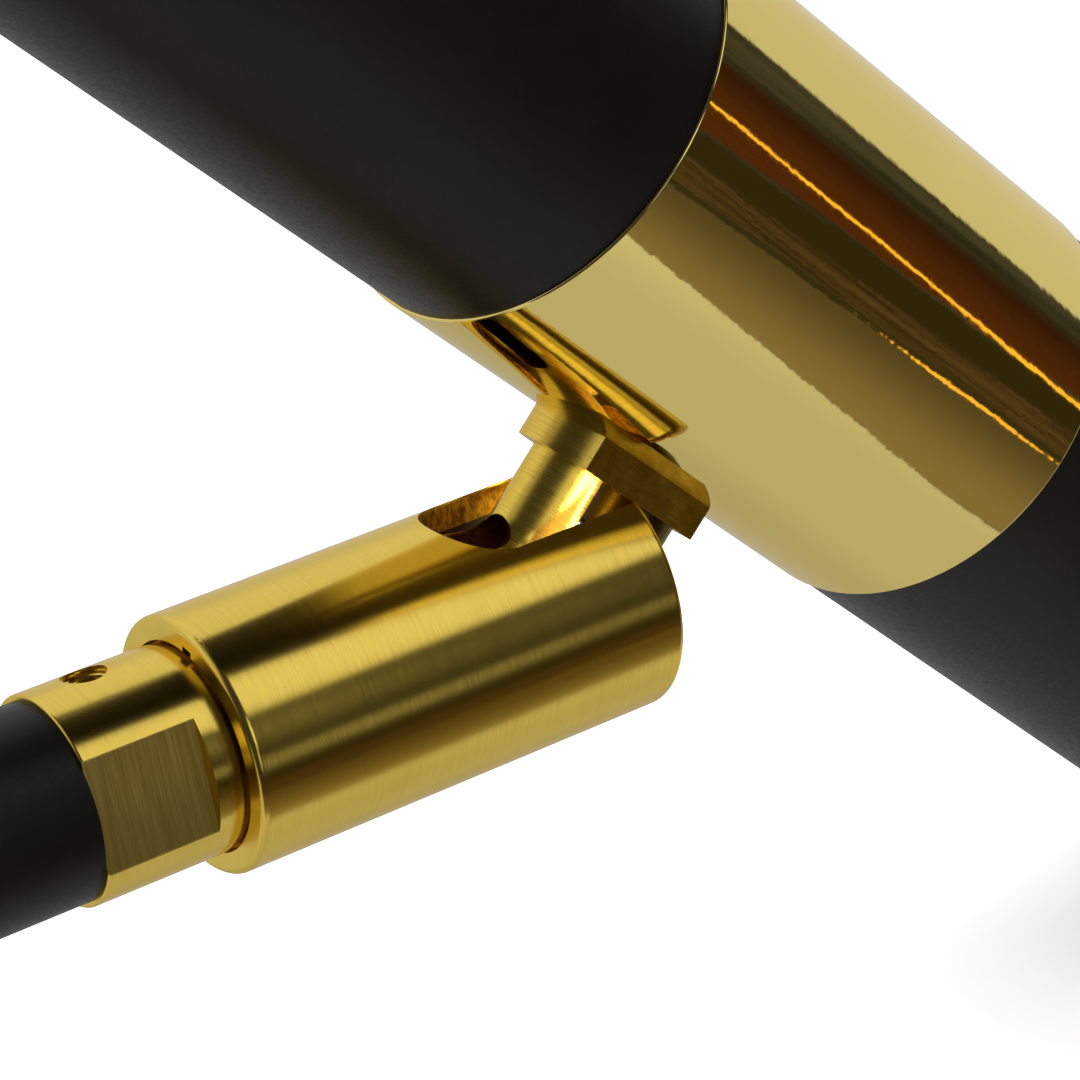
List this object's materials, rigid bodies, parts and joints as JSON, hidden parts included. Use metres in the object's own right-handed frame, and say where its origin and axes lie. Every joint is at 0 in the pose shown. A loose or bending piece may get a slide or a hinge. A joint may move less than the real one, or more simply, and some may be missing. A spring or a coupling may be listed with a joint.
{
  "type": "slotted ball swivel lamp joint",
  "caption": "Slotted ball swivel joint of a tubular lamp: black arm tube, brass collar and slotted sleeve, ball stud and block holding a black body tube with a polished brass band.",
  "frame": {"origin": "centre of the arm tube's open end", "axes": "+X along the arm from its open end to the ball, +Z the side of the sleeve that the slot opens to, +Y across the slot"},
  "size_m": [0.2035, 0.0354, 0.1517],
  "materials": {
    "black_satin_paint": "satin black powder coat",
    "brushed_brass": "fine turned brushing round the axis, lacquered",
    "turned_brass": "plain turned and milled",
    "polished_brass": "mirror polished, lacquered",
    "brown_nylon": "moulded",
    "zinc_steel": "bright zinc plated",
    "aluminium_tube": "drawn"
  },
  "bodies": {
    "arm": {"arm_tube": "black_satin_paint", "arm_end_insert": "zinc_steel", "threaded_nipple": "zinc_steel", "nipple_lock_nut": "zinc_steel", "swivel_collar": "brushed_brass", "collar_set_screw": "zinc_steel", "swivel_sleeve": "brushed_brass", "front_seat": "brown_nylon", "pressure_cup": "brown_nylon", "disc_springs": "zinc_steel"},
    "ball": {"ball_stud": "brushed_brass", "stud_washer": "zinc_steel", "wave_washer": "zinc_steel", "stud_nut": "zinc_steel"},
    "head": {"mounting_block": "turned_brass", "block_screw": "zinc_steel", "screw_washer": "zinc_steel", "block_nut": "zinc_steel", "brass_band": "polished_brass", "coupler_tube": "aluminium_tube", "body_tube_left": "black_satin_paint", "body_tube_right": "black_satin_paint", "backing_plate": "aluminium_tube", "swivel_bush": "brown_nylon"}
  },
  "joints": [
    {"name": "ball_tilt", "type": "hinge", "parent": "arm", "child": "ball", "pos_m": [0.1, 0, 0], "axis": [0, -1, 0], "range_deg": [-28, 30]},
    {"name": "head_swivel", "type": "hinge", "parent": "ball", "child": "head", "pos_m": [0.1, 0, 0], "axis": [0.7046, 0, 0.7096], "range_deg": [-8, 8]}
  ]
}
